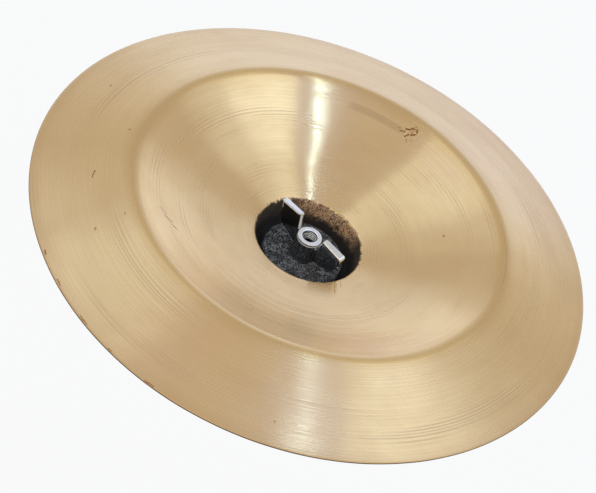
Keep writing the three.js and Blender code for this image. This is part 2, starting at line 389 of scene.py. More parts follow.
class Nodes:
    """The nodes of one material or world, built in few words."""

    def __init__(self, owner, coordinates="Object"):
        owner.use_nodes = True
        self.owner = owner
        self.tree = owner.node_tree
        self.tree.nodes.clear()
        self.place = self.add("ShaderNodeTexCoord").outputs[coordinates]

    def add(self, kind, links=None, **settings):
        node = self.tree.nodes.new(kind)
        for key, value in settings.items():
            setattr(node, key, value)
        for key, value in (links or {}).items():
            self.feed(node.inputs[key], value)
        return node

    def feed(self, socket, value):
        if isinstance(value, bpy.types.NodeSocket):
            self.tree.links.new(value, socket)
        else:
            socket.default_value = value

    def math(self, operation, *values):
        return self.add("ShaderNodeMath", dict(enumerate(values)), operation=operation).outputs[0]

    def vector(self, operation, *values):
        node = self.add("ShaderNodeVectorMath", dict(enumerate(values)), operation=operation)
        return node.outputs["Value" if operation in ("LENGTH", "DISTANCE", "DOT_PRODUCT") else "Vector"]

    def scaled(self, vector, factor):
        links = {0: vector, "Scale": factor}
        return self.add("ShaderNodeVectorMath", links, operation="SCALE").outputs["Vector"]

    def upward(self, vector):
        """The upright part of a vector."""
        return self.add("ShaderNodeSeparateXYZ", {0: vector}).outputs["Z"]

    def ringed(self, around, spread, height):
        """A place that turns with the angle round the axis and climbs with the height."""
        lift = self.add("ShaderNodeCombineXYZ", {"Z": height}).outputs[0]
        return self.vector("ADD", self.vector("MULTIPLY", around, (spread, spread, 0)), lift)

    def total(self, start, *parts):
        """The start plus each part times its share."""
        for part, share in parts:
            start = self.math("ADD", start, self.math("MULTIPLY", part, share))
        return start

    def noise(self, vector, scale, detail=3.0, roughness=0.5, distortion=0.0):
        return self.add("ShaderNodeTexNoise", {
            "Vector": vector, "Scale": scale, "Detail": detail,
            "Roughness": roughness, "Distortion": distortion}).outputs["Fac"]

    def line_noise(self, value, detail=2.0, roughness=0.6):
        return self.add("ShaderNodeTexNoise", {
            "W": value, "Scale": 1.0, "Detail": detail, "Roughness": roughness},
            noise_dimensions="1D").outputs["Fac"]

    def ramp(self, value, low, high, to_low=0.0, to_high=1.0):
        """The value eased from low..high onto to_low..to_high."""
        return self.add("ShaderNodeMapRange", {
            "Value": value, "From Min": low, "From Max": high,
            "To Min": to_low, "To Max": to_high}, interpolation_type="SMOOTHSTEP").outputs["Result"]

    def mix(self, factor, a, b):
        """From colour a to colour b by the factor."""
        node = self.add("ShaderNodeMix", {"Factor": factor}, data_type="RGBA", blend_type="MIX")
        first_colour, mixed_colour = 6, 2
        for socket, value in enumerate((a, b), first_colour):
            is_linked = isinstance(value, bpy.types.NodeSocket)
            self.feed(node.inputs[socket], value if is_linked else (*value, 1))
        return node.outputs[mixed_colour]

    def bump(self, height, distance, normal=None):
        links = {"Height": height, "Distance": distance, "Strength": 1.0}
        if normal:
            links["Normal"] = normal
        return self.add("ShaderNodeBump", links).outputs["Normal"]

    def finish(self, **sockets):
        """Ends in one Principled shader. A plain value goes straight onto its socket."""
        shader = self.add("ShaderNodeBsdfPrincipled")
        for key, value in sockets.items():
            name = key.replace("_", " ").title().replace("Ior", "IOR")
            if isinstance(value, tuple):
                value = (*value, 1)
            self.feed(shader.inputs[name], value)
        self.show(shader, "ShaderNodeOutputMaterial")
        return self.owner

    def show(self, shader, output):
        self.tree.links.new(shader.outputs[0], self.add(output).inputs["Surface"])


def new_nodes(name):
    return Nodes(bpy.data.materials.new(name))


def flat_radius(nodes):
    """Distance from the rod's axis, and the place in the plan, in millimetres."""
    flat = nodes.vector("MULTIPLY", nodes.place, (1 / MM, 1 / MM, 0))
    return nodes.vector("LENGTH", flat), flat


# Marks on the sheet: distance from the axis and angle of one end and of the other, width (mm),
# strength, and 0 for brown stains, 1 for dark pits, 2 for orange specks, 3 for a pale blot
MARKS = (
    (92.4, 101.6, 94.4, 101.9, 4.4, 0.45, 3),
    (90.4, 105.4, 91.2, 103.8, 0.9, 0.85, 0),
    (92.9, 104.0, 93.8, 102.7, 1.3, 0.9, 0),
    (94.9, 102.6, 95.4, 101.5, 1.1, 0.9, 0),
    (95.8, 100.8, 94.6, 100.2, 1.3, 0.9, 0),
    (93.2, 100.2, 91.6, 101.2, 1.2, 0.9, 0),
    (91.2, 102.0, 89.0, 102.8, 0.9, 0.9, 0),
    (93.4, 101.8, 93.0, 101.4, 0.6, 0.8, 0),
    (88.4, 101.6, 87.0, 100.8, 0.5, 0.8, 0),
    (89.8, 100.3, 88.9, 99.8, 0.5, 0.7, 0),
    (91.0, 106.6, 91.6, 105.9, 0.5, 0.7, 0),
    (96.5, 102.0, 96.9, 101.5, 0.5, 0.7, 0),
    (121.6, -129.2, 120.4, -131.4, 0.5, 0.85, 1),
    (133.6, -163.3, 133.9, -163.0, 0.7, 0.8, 1),
    (108.8, -115.7, 109.2, -115.2, 0.6, 0.7, 1),
    (124.4, -113.4, 124.9, -113.0, 0.7, 0.7, 1),
    (108.3, -147.8, 108.8, -147.4, 0.6, 0.7, 1),
    (80.1, -68.8, 80.6, -68.2, 0.6, 0.6, 1),
    (139.8, -52.5, 140.2, -52.2, 0.7, 0.6, 1),
    (72.5, 54.7, 73.0, 55.1, 0.9, 0.6, 1),
    (85.6, -117.4, 81.8, -112.3, 0.45, 0.5, 1),
    (38.9, -23.7, 28.9, -13.9, 0.5, 0.45, 0),
    (35.3, -14.5, 30.7, -9.8, 0.45, 0.35, 0),
    (88.0, -120.6, 84.2, -118.4, 0.4, 0.5, 1),
    (86.0, -117.0, 81.8, -115.0, 0.45, 0.6, 1),
    (83.0, -113.6, 80.2, -111.6, 0.4, 0.5, 1),
    (150.6, -111.0, 150.9, -110.2, 0.8, 0.8, 2),
    (151.0, -104.0, 151.2, -102.6, 0.7, 0.7, 2),
    (151.3, -95.0, 151.4, -93.0, 0.7, 0.7, 2),
    (151.5, -86.5, 151.6, -85.8, 0.7, 0.7, 2),
    (151.6, -77.4, 151.5, -75.6, 0.8, 0.8, 2),
)
MARK_COLOURS = ((0.27, 0.12, 0.02), (0.16, 0.1, 0.06), (0.5, 0.2, 0.06), (0.66, 0.34, 0.16))

# Colours that the bronze takes on in places
BLUSH = (0.83, 0.5, 0.27)
GROOVE_SHADE = (0.55, 0.33, 0.11)
SCORED = (0.4, 0.2, 0.04)
GOLDEN_ROLL = (0.7, 0.41, 0.1)
BROWNED_RIM = (0.68, 0.4, 0.14)
# Painted shade along the rim's edge
SHADED_RIM_EDGE = (0.07, 0.045, 0.03)
DIRT = (0.25, 0.15, 0.07)
RUST = (0.36, 0.16, 0.08)
# Painted light on the scale inside the bell, and painted glints in it
PAINTED_LIT_SCALE = (0.85, 0.44, 0.22)
PAINTED_GLINT = (1.0, 0.8, 0.48)
PIT = (0.03, 0.02, 0.014)

# How far apart the tool's turns lie, in millimetres, on most of the sheet and where it burnt
TOOL_PITCH = 1.75
BURNT_PITCH = 1.02

# Arcs about the axis: distance from it and half width in millimetres, middle angle and half angle
BURNT_ARC = (90.6, 2.2, 115, 12)
CREASE_ARC = (101.9, 0.5, 43, 15)

# The middle angle of the patch of painted light on the scale inside the bell
LIT_WALL_SIDE = 106


def mark_mask(nodes, flat, ragged, start, end, width, strength):
    """1 on a short streak between two points of the flat plan, with a ragged edge."""
    along = end - start
    offset = nodes.vector("SUBTRACT", flat, tuple(start))
    share = nodes.vector("DOT_PRODUCT", offset, tuple(along / along.length_squared))
    share = nodes.add("ShaderNodeClamp", {"Value": share}).outputs[0]
    distance = nodes.vector("DISTANCE", offset, nodes.scaled(tuple(along), share))
    ragged_distance = nodes.math("MULTIPLY", distance, ragged)
    return nodes.ramp(ragged_distance, width * 0.35, width * 0.75, strength, 0.0)


def arc_mask(nodes, radius, around, middle, reach, degrees, half_angle):
    """1 on an arc about the axis, fading towards its sides and over the last third of its angle."""
    across = nodes.math("ABSOLUTE", nodes.math("SUBTRACT", radius, middle))
    along = nodes.vector("DOT_PRODUCT", around, tuple(polar(1, degrees)))
    ends = (math.cos(math.radians(half_angle)), math.cos(math.radians(half_angle * 2 / 3)))
    beside = nodes.ramp(across, reach * 0.6, reach, 1.0, 0.0)
    return nodes.math("MULTIPLY", beside, nodes.ramp(along, *ends))


def bronze_material(settings):
    """Lathed bronze that has dulled in clouds, raw and scaly inside the bell."""
    nodes = new_nodes("lathed_bronze")
    radius, flat = flat_radius(nodes)
    height = nodes.math("MULTIPLY", nodes.upward(nodes.place), 1 / MM)
    around = nodes.scaled(flat, nodes.math("DIVIDE", 1.0, nodes.math("MAXIMUM", radius, 1.0)))

    # Clouds of tarnish, drawn out round the sheet as a cloth leaves them
    smears = nodes.noise(nodes.ringed(around, 2.2, nodes.math("MULTIPLY", radius, 0.09)), 1.0, 5.0, 0.62)
    clouds = nodes.noise(nodes.place, 22.0, 4.0, 0.6, 0.4)
    dull = nodes.math("ADD", nodes.ramp(clouds, 0.35, 0.7, 0.0, 0.5),
                      nodes.ramp(smears, 0.38, 0.72, 0.0, 0.4))
    colour = nodes.mix(dull, tuple(settings.bronze), tuple(settings.tarnish))
    blush = nodes.ramp(nodes.noise(nodes.place, 9.0, 3.0, 0.5, 0.6), 0.5, 0.72, 0.0, 0.3)
    colour = nodes.mix(blush, colour, BLUSH)

    # Fine grooves in bands, as the lathe tool left them
    wander = nodes.math("MULTIPLY", nodes.noise(nodes.place, 14.0, 2.0), 1.3)
    turned_radius = nodes.math("ADD", radius, wander)
    fine = nodes.line_noise(nodes.math("MULTIPLY", turned_radius, 1.5), 3.0, 0.75)
    coarse = nodes.line_noise(nodes.math("MULTIPLY", turned_radius, 0.22), 1.0, 0.5)
    grooves = nodes.math("MULTIPLY", coarse, 0.75)
    band = nodes.ramp(nodes.line_noise(nodes.math("MULTIPLY", radius, 0.06), 1.0), 0.4, 0.65, 0.45, 1.0)
    grooves = nodes.math("MULTIPLY", grooves, band)
    groove_tint = nodes.ramp(fine, 0.3, 0.72, 0.0, 0.16)
    colour = nodes.mix(groove_tint, colour, GROOVE_SHADE)

    # Dark lines a tool's pitch apart, in bands and patches
    pitch_drift = nodes.math("MULTIPLY", nodes.line_noise(nodes.math("MULTIPLY", radius, 0.11), 1.0), 9.0)
    tool_turns = nodes.math("MULTIPLY", radius, FULL_TURN / TOOL_PITCH)
    wave = nodes.math("SINE", nodes.math("ADD", tool_turns, pitch_drift))
    patch_place = nodes.ringed(around, 0.9, nodes.math("MULTIPLY", radius, 0.07))
    tool_patch = nodes.ramp(nodes.noise(patch_place, 1.3, 2.0, 0.5), 0.48, 0.68)
    tool_lines = nodes.math("MULTIPLY", nodes.ramp(wave, -0.2, 1.0), tool_patch)
    close_wave = nodes.math("SINE", nodes.math("MULTIPLY", radius, FULL_TURN / BURNT_PITCH))
    burnt = nodes.math("MULTIPLY", arc_mask(nodes, radius, around, *BURNT_ARC),
                       nodes.ramp(close_wave, -0.2, 0.9, 0.1, 0.6))
    crease = nodes.math("MULTIPLY", arc_mask(nodes, radius, around, *CREASE_ARC), 0.6)
    scored = nodes.math("MAXIMUM", nodes.math("MAXIMUM", burnt, crease),
                        nodes.math("MULTIPLY", tool_lines, 0.07))
    colour = nodes.mix(scored, colour, SCORED)

    # A golden roll at the ridge, a browner rim, and painted shade near black on its edge
    off_ridge = nodes.math("ABSOLUTE", nodes.math("SUBTRACT", radius, RIDGE[0]))
    colour = nodes.mix(nodes.ramp(off_ridge, 1.0, 8.0, 0.7, 0.0), colour, GOLDEN_ROLL)
    browned = nodes.ramp(nodes.total(radius, (clouds, 9.0)), 148.0, 158.0, 0.0, 0.6)
    colour = nodes.mix(browned, colour, BROWNED_RIM)
    # Painted shade: near black on the rim's very edge, which is also rougher and less metallic
    edge = nodes.ramp(radius, RIM_RADIUS - 0.32, RIM_RADIUS - 0.16)
    colour = nodes.mix(edge, colour, SHADED_RIM_EDGE)

    # Specks of dirt
    cells = nodes.add("ShaderNodeTexVoronoi", {"Vector": nodes.place, "Scale": 70.0})
    picked = nodes.add("ShaderNodeSeparateColor", {"Color": cells.outputs["Color"]}).outputs[0]
    specks = nodes.math("MULTIPLY", nodes.ramp(cells.outputs["Distance"], 0.015, 0.04, 0.55, 0.0),
                        nodes.ramp(picked, 0.6, 0.65))
    colour = nodes.mix(specks, colour, DIRT)

    # Stains, pits and scratches, each in its place
    ragged = nodes.ramp(nodes.noise(nodes.place, 1100.0, 3.0, 0.8), 0.3, 0.7, 0.4, 2.2)
    marked = 0.0
    for r1, a1, r2, a2, width, strength, kind in MARKS:
        mask = mark_mask(nodes, flat, ragged, polar(r1, a1), polar(r2, a2), width, strength)
        colour = nodes.mix(mask, colour, MARK_COLOURS[kind])
        marked = nodes.math("MAXIMUM", marked, mask)

    # Inside the bell the sheet was never lathed
    speckle = nodes.noise(nodes.place, 1500.0, 2.0, 0.6)
    patches = nodes.noise(nodes.place, 330.0, 3.0, 0.6)
    mouth_edge = nodes.math("ADD", height, nodes.ramp(patches, 0.3, 0.7, -1.2, 1.0))
    in_bell = nodes.math("MULTIPLY", nodes.ramp(mouth_edge, BELL_MOUTH - 0.5, BELL_MOUTH + 0.2, 1, 0),
                         nodes.ramp(radius, 29.3, 30.6, 1.0, 0.0))
    # Painted light: a coppery patch on the far wall, brightest at the mouth and fading downwards, with
    # painted glints; the rest of the wall stays dark as painted shade
    lit_wall_side = nodes.vector("DOT_PRODUCT", around, tuple(polar(1, LIT_WALL_SIDE)))
    ragged_height = nodes.math("ADD", height, nodes.ramp(patches, 0.3, 0.7, -1.6, 1.6))
    painted_wall_light = nodes.math("MULTIPLY", nodes.ramp(lit_wall_side, 0.62, 0.9, 0.06, 1.0),
                        nodes.ramp(ragged_height, BELL_MOUTH - 12, BELL_MOUTH - 6, 0.03, 1.0))
    scale_and_painted_light = nodes.mix(nodes.ramp(patches, 0.35, 0.62), RUST, PAINTED_LIT_SCALE)
    scale_and_painted_light = nodes.mix(nodes.ramp(speckle, 0.5, 0.62), scale_and_painted_light, PAINTED_GLINT)
    scale_and_painted_light = nodes.mix(nodes.ramp(speckle, 0.46, 0.38), scale_and_painted_light, PIT)
    scale_and_painted_light = nodes.mix(painted_wall_light, tuple(settings.raw_bronze_in_shade), scale_and_painted_light)
    colour = nodes.mix(in_bell, colour, scale_and_painted_light)

    lathed = nodes.math("SUBTRACT", 1.0, in_bell)
    normal = nodes.bump(nodes.math("MULTIPLY", grooves, lathed), settings.groove_depth)
    rough_scale = nodes.math("MULTIPLY", nodes.math("ADD", speckle, patches), in_bell)
    normal = nodes.bump(rough_scale, 0.00045, normal)
    normal = nodes.bump(nodes.math("MULTIPLY", marked, -1.0), 0.00006, normal)
    past_ridge = nodes.ramp(radius, RIDGE[0] - 4, RIDGE[0] + 4)
    roughness = nodes.total(
        settings.roughness, (dull, 0.05), (nodes.ramp(fine, 0.3, 0.7), 0.05), (edge, 0.3),
        (tool_lines, 0.16), (past_ridge, 0.08), (marked, 0.25), (in_bell, 0.28))
    scaly = nodes.math("MULTIPLY", in_bell, nodes.ramp(painted_wall_light, 0.2, 0.8, 0.75, 0.6))
    metal = nodes.math("SUBTRACT", nodes.total(1.0, (edge, -0.5)), scaly)
    tangent = nodes.add("ShaderNodeTangent", direction_type="RADIAL", axis="Z").outputs[0]
    lacquer = nodes.math("MULTIPLY", nodes.math("SUBTRACT", lathed, edge), 0.9)
    lacquer = nodes.math("MULTIPLY", lacquer, nodes.math("SUBTRACT", 1.0, marked))
    return nodes.finish(base_color=colour, metallic=metal, roughness=roughness, normal=normal,
                        anisotropic=0.97, anisotropic_rotation=0.25, tangent=tangent,
                        coat_weight=lacquer, coat_roughness=0.3, coat_ior=1.95)


def felt_material(settings):
    """Dark pressed wool whose paler hairs curl over a nearly black ground."""
    nodes = new_nodes("pressed_wool")
    curls = nodes.noise(nodes.place, 520.0, 1.0, 0.5, 0.6)
    thick = nodes.math("ABSOLUTE", nodes.math("SUBTRACT", curls, 0.5))
    strands = nodes.ramp(thick, 0.012, 0.06, 1.0, 0.0)
    second = nodes.noise(nodes.vector("ADD", nodes.place, (3.1, 1.7, 0.4)), 760.0, 1.0, 0.5, 0.8)
    strands = nodes.math("MAXIMUM", strands, nodes.ramp(
        nodes.math("ABSOLUTE", nodes.math("SUBTRACT", second, 0.5)), 0.01, 0.05, 0.8, 0.0))
    hairs = nodes.noise(nodes.place, 2600.0, 2.0, 0.6, 1.0)
    patches = nodes.noise(nodes.place, 160.0, 2.0, 0.5)
    strands = nodes.math("MULTIPLY", strands, nodes.ramp(hairs, 0.3, 0.62, 0.25, 1.0))
    strands = nodes.math("MULTIPLY", strands, nodes.ramp(patches, 0.32, 0.62, 0.3, 1.0))
    colour = nodes.mix(strands, tuple(settings.wool), tuple(settings.fleck))
    height = nodes.math("ADD", strands, nodes.math("MULTIPLY", hairs, 0.4))
    return nodes.finish(base_color=colour, roughness=0.95, sheen_weight=0.12, sheen_roughness=0.5,
                        specular_ior_level=0.15, normal=nodes.bump(height, 0.00035))


def plated_material(name, colour, roughness, wear=0.2, blotch=300.0, thread=None, shade_webs=False):
    """Plated steel, scratched, blotched and worn. Thread gives the radii of its crests and of its roots,
    which get painted shade.
    """
    nodes = new_nodes(name)
    blotches = nodes.noise(nodes.place, blotch, 3.0, 0.6, 0.5)
    scratched = nodes.vector("MULTIPLY", nodes.place, (3500, 3500, 260))
    scratches = nodes.noise(scratched, 1.0, 2.0, 0.6)
    shade = nodes.mix(nodes.ramp(blotches, 0.4, 0.75, 0.0, 0.35), colour,
                      tuple(c * 0.7 for c in colour))
    edges = nodes.add("ShaderNodeNewGeometry").outputs["Pointiness"]
    worn = nodes.math("MULTIPLY", nodes.ramp(edges, 0.52, 0.6), wear)
    shade = nodes.mix(worn, shade, (0.93, 0.93, 0.92))
    # Darker where the surface curves inwards
    hollow_darkening = nodes.math("MULTIPLY", nodes.ramp(edges, 0.47, 0.42), 0.45)
    shade = nodes.mix(hollow_darkening, shade, tuple(c * 0.3 for c in colour))
    radius, _ = flat_radius(nodes)
    # Painted shade: darker low on the wing nut's webs and barrel
    if shade_webs:
        shade = nodes.mix(painted_web_shade(nodes, radius), shade, (0.16, 0.17, 0.18))
    # Painted shade in the thread's roots, and on the rod's end faces, which lie inside the roots' radius
    if thread:
        crest, root = thread
        shares = (0.0, 0.95) if root > crest else (0.95, 0.0)
        dark = nodes.ramp(radius, min(thread), max(thread), *shares)
        inside = nodes.ramp(radius, NUT_ROOT + 0.05, NUT_ROOT + 0.2, 1.0, 0.0)
        shade = nodes.mix(nodes.math("MULTIPLY", dark, inside), shade, (0.012, 0.012, 0.012))
    rough = nodes.ramp(nodes.math("ADD", blotches, nodes.math("MULTIPLY", scratches, 0.3)),
                       0.4, 0.95, roughness * 0.75, roughness * 1.7)
    return nodes.finish(base_color=shade, metallic=1.0, roughness=rough,
                        normal=nodes.bump(scratches, 0.000012))


def painted_web_shade(nodes, radius):
    """Painted shade low on the wing nut's webs and barrel, and none on the wings' outer edges."""
    height = nodes.math("SUBTRACT", nodes.math("MULTIPLY", nodes.upward(nodes.place), 1 / MM), NUT_FOOT)
    web = nodes.math("MULTIPLY", nodes.ramp(height, 15.5, 18, 0.75, 0.0), nodes.ramp(radius, 8.5, 10.5))
    barrel = nodes.ramp(height, 10.5, 12, 0.75, 0.0)
    return nodes.math("MULTIPLY", nodes.math("MAXIMUM", web, barrel),
                      nodes.ramp(radius, WING_REACH - 2, WING_REACH - 1, 1.0, 0.0))


def sheared_face_with_painted_highlight():
    """The pale matt face that the shear left along the edge of the sheet, made near white as a painted
    highlight.
    """
    nodes = new_nodes("sheared_plating_painted_highlight")
    torn = nodes.noise(nodes.vector("MULTIPLY", nodes.place, (1600, 1600, 5200)), 1.0, 2.0, 0.6)
    # Near white: partly the pale sheared steel, partly a painted highlight
    colour = nodes.mix(nodes.ramp(torn, 0.3, 0.7), (0.97, 0.97, 0.96), (0.86, 0.86, 0.85))
    return nodes.finish(base_color=colour, metallic=0.1, roughness=0.42,
                        normal=nodes.bump(torn, 0.00004))


def nylon_material(settings):
    """Moulded nylon, matt and lightly scuffed."""
    nodes = new_nodes("moulded_nylon")
    grain = nodes.noise(nodes.place, 2600.0, 2.0, 0.6)
    scuffs = nodes.noise(nodes.vector("MULTIPLY", nodes.place, (600, 600, 3200)), 1.0, 3.0, 0.7)
    colour = nodes.mix(nodes.ramp(scuffs, 0.55, 0.75, 0.0, 0.6), tuple(settings.nylon),
                       (0.11, 0.11, 0.115))
    return nodes.finish(base_color=colour, roughness=nodes.ramp(scuffs, 0.3, 0.7, 0.42, 0.62),
                        normal=nodes.bump(grain, 0.00003))


# ---------------------------------------------------------------- pieces

def sheet_outline():
    """Upper face and lower face of the sheet from the hole to the rim, point by point."""
    upper = subdivided(bent_path([
        (HOLE_RADIUS, BELL_FLOOR),
        (BELL_FLOOR_RADIUS, BELL_FLOOR, 5, 14),
        (BELL_MOUTH_RADIUS, BELL_MOUTH, 2, 10),
        (*BOW_KNEE, 220, 22),
        (*RIDGE, 9, 18),
        (*FLANGE_KNEE, 300, 20),
        (RIM_RADIUS, RIM_HEIGHT),
    ]), 1.4)
    return upper, offset_path(upper, -SHEET)


def sheet_move(radius, angle, settings):
    """How far the sheet lies below or above its plain form at a place, in millimetres."""
    x, y = radius * math.cos(angle), radius * math.sin(angle)
    outside = min(1.0, max(0.0, (radius - 32) / 20))
    blows = noise.noise(Vector((x, y, 0)) / 17) * 0.6 + noise.noise(Vector((x, y, 40)) / 38)
    lathe = 0.012 * math.sin(radius * 1.05) + 0.01 * math.sin(radius * 2.3 + 1)
    flare = max(0.0, (radius - RIDGE[0]) / (RIM_RADIUS - RIDGE[0]))
    wave = 0.6 * math.cos(2 * angle - 0.8) + 0.4 * math.cos(3 * angle + 1.1)
    beaten = settings.hammering / MM * (blows - 1.2)
    return outside * (beaten + lathe) + flare ** 2 * settings.rim_wave / MM * wave


def make_sheet(settings):
    upper, lower = sheet_outline()
    sides = settings.sides
    rim = [upper[-1] + (lower[-1] - upper[-1]) * share for share in (0.12, 0.5, 0.88)]
    rim_round, hole_round, hole_drop = Vector((0.18, -0.02)), Vector((0.12, 0)), Vector((0, 0.14))
    upper[-1], lower[-1] = upper[-1] - rim_round, lower[-1] - rim_round
    loop = lower[1:] + [rim[2] - rim_round * 0.3, rim[1], rim[0] - rim_round * 0.3] + upper[:0:-1]
    loop += [upper[0] + hole_round, upper[0] - hole_drop, lower[0] + hole_drop, lower[0] + hole_round]
    angles = [FULL_TURN * s / sides for s in range(sides)]
    moves = {}
    rows = []
    for p in loop:
        key = round(p.x, 1)
        if key not in moves:
            moves[key] = np.array([sheet_move(p.x, a, settings) for a in angles])
        rows.append(p.y + moves[key])
    radii = np.array([p.x for p in loop])[:, None]
    points = turned_points(np.broadcast_to(radii, (len(loop), sides)), np.array(rows), sides)
    faces = turned_faces(len(loop), sides, True)
    sheet = made("cymbal_sheet", points.reshape(-1, 3) * MM, faces, 50)
    roughen_bell(sheet)
    return sheet


def roughen_bell(sheet):
    """Small scaly lumps on the wall inside the bell, which was never lathed."""
    count = len(sheet.data.vertices)
    flat = np.empty(count * 3)
    sheet.data.vertices.foreach_get("co", flat)
    points = flat.reshape(-1, 3) / MM
    radius = np.hypot(points[:, 0], points[:, 1])
    inside = (radius < BELL_MOUTH_RADIUS + 0.2) & (radius > HOLE_RADIUS + 1)
    inside &= (points[:, 2] > BELL_FLOOR + 0.5) & (points[:, 2] < BELL_MOUTH - 0.6)
    for i in np.nonzero(inside)[0]:
        at = Vector(points[i])
        lump = noise.noise(at / 1.9) * 0.16 + noise.noise(at / 5) * 0.14
        points[i, :2] *= 1 + lump / radius[i]
    sheet.data.vertices.foreach_set("co", (points * MM).reshape(-1))
    sheet.data.update()


def unpressed(reach, level=1.0):
    """How free a felt is of the nut: 0 under it, 1 away from it. Level is 0 at the foot, 1 on top."""
    nut_edge, run = 9.5, 6
    share = min(1, max(0, (reach - nut_edge) / run)) * min(1, max(0, level))
    return share * share * (3 - 2 * share)


def felt_layer(name, radius, low, high, rounded_low, rounded_high, pinched, settings, seed):
    """One layer of a felt washer: a lumpy ring, squeezed round its middle where a nut pinches it."""
    rounding, seam = 1.5, 0.12
    outline = bent_path([
        (FELT_BORE, (low + high) / 2, 0, 1),
        (FELT_BORE, low, 0.5 if rounded_low else 0.05, 3),
        (radius, low, rounding if rounded_low else seam, 6),
        (radius, high, rounding if rounded_high else seam, 6),
        (FELT_BORE, high, 0.5 if rounded_high else 0.05, 3),
        (FELT_BORE, (low + high) / 2 + 0.01, 0, 1),
    ])
    outline = subdivided(outline, 0.45 if pinched else 0.8)[:-1]
    layer = turned(name, outline, 300 if pinched else 160, sharp_degrees=80)
    for vertex in layer.data.vertices:
        at = vertex.co / MM
        lump = noise.noise(at / 1.1 + Vector((seed, 0, 0))) * 0.5 + noise.noise(at / 4.5) * 0.7
        level = noise.noise(Vector((at.x, at.y, seed)) / 9) * 0.4
        size = settings.lumps / MM
        reach = math.hypot(at.x, at.y)
        if reach > FELT_BORE + 0.4:
            vertex.co.xy *= 1 + (lump - 0.3) * size / reach
        if rounded_high and at.z > high - 0.4:
            vertex.co.z += (lump + level - 0.6) * size * MM
        if pinched:
            vertex.co.z += pinched * unpressed(reach, (at.z - low) / (high - low)) * MM
        if rounded_low and at.z < low + 0.4:
            vertex.co.z -= (lump + level - 0.6) * size * 0.5 * MM
    layer.data.update()
    return layer


def felt_hairs(name, radius, low, high, top_from, pinched, settings, seed):
    """Loose curled hairs on the open faces of a felt layer, as thin three-sided tubes."""
    draw = random.Random(seed)
    points, faces = [], []
    length = settings.fibre_length / MM
    share_on_top = 0.72
    steps = 5
    for _ in range(settings.fibres):
        angle = draw.uniform(0, FULL_TURN)
        on_top = top_from < radius and draw.random() < share_on_top
        if on_top:
            from_axis = math.sqrt(draw.uniform(top_from ** 2, (radius - 1) ** 2))
            surface = high + pinched * unpressed(from_axis)
            start = polar(from_axis, math.degrees(angle)) + Vector((0, 0, surface - 0.12))
            out = Vector((0, 0, 1))
        else:
            out = polar(1, math.degrees(angle))
            start = out * (radius - 0.16) + Vector((0, 0, draw.uniform(low + 0.5, high - 0.5)))
        side = Vector((draw.gauss(0, 1), draw.gauss(0, 1), draw.gauss(0, 1)))
        side = (side - out * side.dot(out)).normalized()
        bow = out.cross(side) * draw.uniform(-0.6, 0.6)
        reach = length * draw.uniform(0.5, 1.3)
        rise = draw.uniform(0.12, 0.34)
        width = draw.uniform(0.025, 0.05)
        base = len(points)
        for step in range(steps + 1):
            t = step / steps
            along = side * reach * (t - 0.5) + bow * reach * (t * t - t)
            spine = start + along + out * rise * 4 * t * (1 - t)
            for k in range(3):
                turn = FULL_TURN * k / 3
                outwards = out * math.cos(turn) + out.cross(side) * math.sin(turn)
                points.append((spine + outwards * width) * MM)
        for step in range(steps):
            for k in range(3):
                a, b = base + step * 3 + k, base + step * 3 + (k + 1) % 3
                faces.append((a, b, b + 3, a + 3))
        last = base + steps * 3
        faces += [(base + 2, base + 1, base), (last, last + 1, last + 2)]
    return made(name, points, faces, 80)


def make_felt(name, top_hairs_from, bodies, material, settings, seed):
    """A felt of two pressed layers; the bodies are given in order from its foot to its top, but not used.

    The top face has hairs from a distance from the axis outwards, and none if that is past the edge.
    """
    corner, far_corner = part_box(name)
    radius, low, high = far_corner.x / MM, corner.z / MM, far_corner.z / MM
    middle = (low + high) / 2
    bottom_body, middle_body, top_body = bodies
    layers = (
        ("bottom_layer", low, middle, True, False, radius + 1, bottom_body, middle_body),
        ("top_layer", middle, high, False, True, top_hairs_from, middle_body, top_body),
    )
    for word, foot, top, round_foot, round_top, hairs_from, below, above in layers:
        full_name = f"{name}_{word}"
        pinched = settings.pinch / MM if hairs_from < radius else 0
        layer = felt_layer(full_name, radius, foot, top, round_foot, round_top, pinched, settings, seed)
        hairs = felt_hairs(full_name + "_hairs", radius, foot, top, hairs_from, pinched, settings, seed)
        layer = joined(full_name, [layer, hairs])
        dressed(layer, material, None, [name])
        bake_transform(layer)
        seed += 1


def flange_depth(past_outer, past_inner, outer_length):
    """Depth of the folded flange at lengths past the outer and the inner top corner."""
    deepest, at_inner_corner, at_neck = 4.0, 3.3, 2.0
    if past_outer < 0:
        return deepest + 2.6 * past_outer / outer_length
    if past_inner < 0:
        return at_inner_corner + (deepest - at_inner_corner) * min(1, -past_inner / 13)
    relief = 0.5 * math.exp(-((past_inner - 1.0) / 0.5) ** 2)
    return at_inner_corner - (at_inner_corner - at_neck) * min(1, past_inner) - relief


